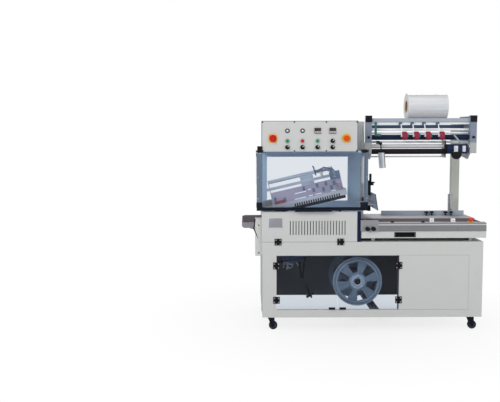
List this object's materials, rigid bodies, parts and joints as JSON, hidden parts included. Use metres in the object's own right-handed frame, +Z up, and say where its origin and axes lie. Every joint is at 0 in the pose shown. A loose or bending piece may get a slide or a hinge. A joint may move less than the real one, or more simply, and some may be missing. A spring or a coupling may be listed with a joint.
{
  "type": "l bar sealer",
  "caption": "Floor-standing film sealing machine with an L-shaped jaw under a tinted guard, infeed table, outfeed belt and a film rack on columns.",
  "frame": {"origin": "on the floor under the middle of the machine's bounding box", "axes": "+X to the infeed end, +Y away from the operator, +Z up"},
  "size_m": [1.69, 0.836, 1.6629],
  "materials": {
    "cream_paint": "fine powder coat",
    "black_hinge": "moulded, fine texture",
    "tinted_acrylic": "tinted, polished",
    "dark_fitting": "satin",
    "red_plastic": "gloss",
    "green_plastic": "gloss",
    "black_plastic": "satin",
    "black_paint": "satin black paint",
    "aluminium": "mill finish",
    "knife_steel": "dark coated",
    "brown_belt": "woven coated belt",
    "bright_steel": "turned",
    "brushed_steel": "brushed along its length",
    "rack_paint": "satin",
    "white_bar": "satin",
    "red_wheel": "moulded",
    "navy_tube": "satin",
    "black_rubber": "ground rubber",
    "clear_film": "wound film, glossy",
    "motor_blue": "enamel",
    "reel_grey": "satin",
    "caster_steel": "black zinc",
    "caster_tread": "moulded tread"
  },
  "bodies": {
    "machine": {"frame_tubes": "cream_paint", "cabinet_panels": "cream_paint", "front_fascia": "cream_paint", "upper_housing": "cream_paint", "control_box": "cream_paint", "hinge_leaves": "black_hinge", "side_shield": "tinted_acrylic", "panel_fittings": "dark_fitting", "crank_column": "black_paint", "lower_seal_jaw": "aluminium", "conveyor_bed": "aluminium", "conveyor_belt": "brown_belt", "rack_side_plates": "rack_paint", "rack_bars": "white_bar", "perforator_arms": "white_bar", "gear_motors": "motor_blue"},
    "left_door": {"left_door": "tinted_acrylic"},
    "right_door": {"right_door": "tinted_acrylic"},
    "vent_panel": {"vent_panel": "cream_paint"},
    "outfeed_roller": {"outfeed_roller": "bright_steel"},
    "infeed_roller": {"infeed_roller": "bright_steel"},
    "nip_roller": {"nip_roller": "black_rubber"},
    "pressure_tube": {"pressure_tube": "navy_tube"},
    "cradle_roller_front": {"cradle_roller_front": "bright_steel"},
    "cradle_roller_rear": {"cradle_roller_rear": "bright_steel"},
    "film_roll": {"film_roll": "clear_film"},
    "perforator_wheels": {"perforator_wheels": "red_wheel"},
    "dancer_arm": {"dancer_arm": "bright_steel"},
    "crank_handle": {"crank_handle": "black_plastic"},
    "film_opener": {"film_opener": "bright_steel"},
    "waste_reel": {"waste_reel": "reel_grey"},
    "table_fence": {"table_fence": "aluminium"},
    "table_e_stop": {"table_e_stop": "red_plastic"},
    "main_switch": {"main_switch": "red_plastic"},
    "start_button": {"start_button": "green_plastic"},
    "stop_button": {"stop_button": "red_plastic"},
    "reset_button": {"reset_button": "green_plastic"},
    "mode_selector": {"mode_selector": "black_plastic"},
    "emergency_stop": {"emergency_stop": "red_plastic"},
    "film_selector": {"film_selector": "black_plastic"},
    "feed_selector": {"feed_selector": "black_plastic"},
    "belt_selector": {"belt_selector": "black_plastic"},
    "seal_selector": {"seal_selector": "black_plastic"},
    "caster_fork_front_left": {"caster_fork_front_left": "caster_steel"},
    "caster_wheel_front_left": {"caster_wheel_front_left": "caster_tread"},
    "caster_fork_front_right": {"caster_fork_front_right": "caster_steel"},
    "caster_wheel_front_right": {"caster_wheel_front_right": "caster_tread"},
    "caster_fork_rear_left": {"caster_fork_rear_left": "caster_steel"},
    "caster_wheel_rear_left": {"caster_wheel_rear_left": "caster_tread"},
    "caster_fork_rear_right": {"caster_fork_rear_right": "caster_steel"},
    "caster_wheel_rear_right": {"caster_wheel_rear_right": "caster_tread"},
    "guard": {"guard_panes": "tinted_acrylic", "guard_frame": "black_paint"},
    "seal_arm": {"seal_arm_frame": "aluminium", "seal_knife": "knife_steel"},
    "infeed_table": {"table_tray": "cream_paint", "table_plates": "brushed_steel", "table_belts": "brown_belt", "table_fittings": "black_plastic", "table_pull": "black_plastic"}
  },
  "joints": [
    {"name": "guard_lift", "type": "hinge", "parent": "machine", "child": "guard", "pos_m": [0, -0.3915, 1.252], "axis": [1, 0, 0], "range_deg": [-85, 0]},
    {"name": "vent_panel_fold", "type": "hinge", "parent": "machine", "child": "vent_panel", "pos_m": [-0.594, -0.3873, 0.626], "axis": [1, 0, 0], "range_deg": [0, 90]},
    {"name": "left_door_swing", "type": "hinge", "parent": "machine", "child": "left_door", "pos_m": [-0.605, -0.3873, 0.218], "axis": [0, 0, 1], "range_deg": [-110, 0]},
    {"name": "right_door_swing", "type": "hinge", "parent": "machine", "child": "right_door", "pos_m": [0.244, -0.3873, 0.218], "axis": [0, 0, 1], "range_deg": [0, 110]},
    {"name": "seal_arm_close", "type": "hinge", "parent": "machine", "child": "seal_arm", "pos_m": [-0.675, -0.382, 0.842], "axis": [0, 1, 0], "range_deg": [0, 13]},
    {"name": "table_slide", "type": "slide", "parent": "machine", "child": "infeed_table", "axis": [0, 1, 0], "range_m": [-0.25, 0]},
    {"name": "fence_slide", "type": "slide", "parent": "infeed_table", "child": "table_fence", "axis": [0, 1, 0], "range_m": [-0.15, 0]},
    {"name": "table_e_stop_press", "type": "slide", "parent": "infeed_table", "child": "table_e_stop", "axis": [0, 0, -1], "range_m": [0, 0.006]},
    {"name": "infeed_roller_spin", "type": "hinge", "parent": "infeed_table", "child": "infeed_roller", "pos_m": [0.82, -0.382, 0.737], "axis": [0, 1, 0], "continuous": true},
    {"name": "outfeed_roller_spin", "type": "hinge", "parent": "machine", "child": "outfeed_roller", "pos_m": [-0.823, -0.382, 0.735], "axis": [0, 1, 0], "continuous": true},
    {"name": "nip_roller_spin", "type": "hinge", "parent": "machine", "child": "nip_roller", "pos_m": [0, -0.172, 1.244], "axis": [1, 0, 0], "continuous": true},
    {"name": "pressure_tube_spin", "type": "hinge", "parent": "machine", "child": "pressure_tube", "pos_m": [0, -0.142, 1.344], "axis": [1, 0, 0], "continuous": true},
    {"name": "cradle_front_spin", "type": "hinge", "parent": "machine", "child": "cradle_roller_front", "pos_m": [0, -0.03, 1.461], "axis": [1, 0, 0], "continuous": true},
    {"name": "cradle_rear_spin", "type": "hinge", "parent": "machine", "child": "cradle_roller_rear", "pos_m": [0, 0.066, 1.461], "axis": [1, 0, 0], "continuous": true},
    {"name": "perforator_wheels_spin", "type": "hinge", "parent": "machine", "child": "perforator_wheels", "pos_m": [0, -0.19108, 1.355], "axis": [1, 0, 0], "continuous": true},
    {"name": "film_roll_spin", "type": "hinge", "parent": "machine", "child": "film_roll", "pos_m": [0, 0.018, 1.56693], "axis": [1, 0, 0], "continuous": true},
    {"name": "dancer_swing", "type": "hinge", "parent": "machine", "child": "dancer_arm", "pos_m": [0.127, -0.222, 1.302], "axis": [1, 0, 0], "range_deg": [-30, 5]},
    {"name": "crank_turn", "type": "hinge", "parent": "machine", "child": "crank_handle", "pos_m": [0.096, 0.018, 1.006], "axis": [0, 0, 1], "range_deg": [-360, 360]},
    {"name": "film_opener_rise", "type": "slide", "parent": "machine", "child": "film_opener", "axis": [0, 0, 1], "range_m": [-0.02, 0.02]},
    {"name": "waste_reel_spin", "type": "hinge", "parent": "machine", "child": "waste_reel", "pos_m": [-0.028, -0.382, 0.329], "axis": [0, 1, 0], "continuous": true},
    {"name": "main_switch_turn", "type": "hinge", "parent": "machine", "child": "main_switch", "pos_m": [-0.63, -0.382, 1.34], "axis": [0, 1, 0], "range_deg": [0, 90]},
    {"name": "start_button_press", "type": "slide", "parent": "machine", "child": "start_button", "axis": [0, 1, 0], "range_m": [0, 0.004], "stiffness_N_per_m": 300},
    {"name": "stop_button_press", "type": "slide", "parent": "machine", "child": "stop_button", "axis": [0, 1, 0], "range_m": [0, 0.004], "stiffness_N_per_m": 300},
    {"name": "reset_button_press", "type": "slide", "parent": "machine", "child": "reset_button", "axis": [0, 1, 0], "range_m": [0, 0.004], "stiffness_N_per_m": 300},
    {"name": "mode_selector_turn", "type": "hinge", "parent": "machine", "child": "mode_selector", "pos_m": [-0.222, -0.382, 1.3225], "axis": [0, 1, 0], "range_deg": [-45, 45]},
    {"name": "emergency_stop_press", "type": "slide", "parent": "machine", "child": "emergency_stop", "axis": [0, 1, 0], "range_m": [0, 0.006]},
    {"name": "film_selector_turn", "type": "hinge", "parent": "machine", "child": "film_selector", "pos_m": [-0.531, -0.382, 1.2797], "axis": [0, 1, 0], "range_deg": [-45, 45]},
    {"name": "feed_selector_turn", "type": "hinge", "parent": "machine", "child": "feed_selector", "pos_m": [-0.428, -0.382, 1.2797], "axis": [0, 1, 0], "range_deg": [-45, 45]},
    {"name": "belt_selector_turn", "type": "hinge", "parent": "machine", "child": "belt_selector", "pos_m": [-0.325, -0.382, 1.2797], "axis": [0, 1, 0], "range_deg": [-45, 45]},
    {"name": "seal_selector_turn", "type": "hinge", "parent": "machine", "child": "seal_selector", "pos_m": [-0.222, -0.382, 1.2797], "axis": [0, 1, 0], "range_deg": [-45, 45]},
    {"name": "caster_swivel_front_left", "type": "hinge", "parent": "machine", "child": "caster_fork_front_left", "pos_m": [-0.645, -0.332, 0.095], "axis": [0, 0, 1], "continuous": true},
    {"name": "caster_roll_front_left", "type": "hinge", "parent": "caster_fork_front_left", "child": "caster_wheel_front_left", "pos_m": [-0.627, -0.332, 0.03], "axis": [0, 1, 0], "continuous": true},
    {"name": "caster_swivel_front_right", "type": "hinge", "parent": "machine", "child": "caster_fork_front_right", "pos_m": [0.755, -0.332, 0.095], "axis": [0, 0, 1], "continuous": true},
    {"name": "caster_roll_front_right", "type": "hinge", "parent": "caster_fork_front_right", "child": "caster_wheel_front_right", "pos_m": [0.773, -0.332, 0.03], "axis": [0, 1, 0], "continuous": true},
    {"name": "caster_swivel_rear_left", "type": "hinge", "parent": "machine", "child": "caster_fork_rear_left", "pos_m": [-0.645, 0.368, 0.095], "axis": [0, 0, 1], "continuous": true},
    {"name": "caster_roll_rear_left", "type": "hinge", "parent": "caster_fork_rear_left", "child": "caster_wheel_rear_left", "pos_m": [-0.627, 0.368, 0.03], "axis": [0, 1, 0], "continuous": true},
    {"name": "caster_swivel_rear_right", "type": "hinge", "parent": "machine", "child": "caster_fork_rear_right", "pos_m": [0.755, 0.368, 0.095], "axis": [0, 0, 1], "continuous": true},
    {"name": "caster_roll_rear_right", "type": "hinge", "parent": "caster_fork_rear_right", "child": "caster_wheel_rear_right", "pos_m": [0.773, 0.368, 0.03], "axis": [0, 1, 0], "continuous": true}
  ],
  "couplings": [
    {"joint": "cradle_front_spin", "follows": "film_roll_spin", "ratio": -4.8},
    {"joint": "cradle_rear_spin", "follows": "film_roll_spin", "ratio": -4.8},
    {"joint": "perforator_wheels_spin", "follows": "pressure_tube_spin", "ratio": -0.6129},
    {"joint": "crank_turn", "follows": "film_opener_rise", "rad_per_m": 314.16}
  ]
}
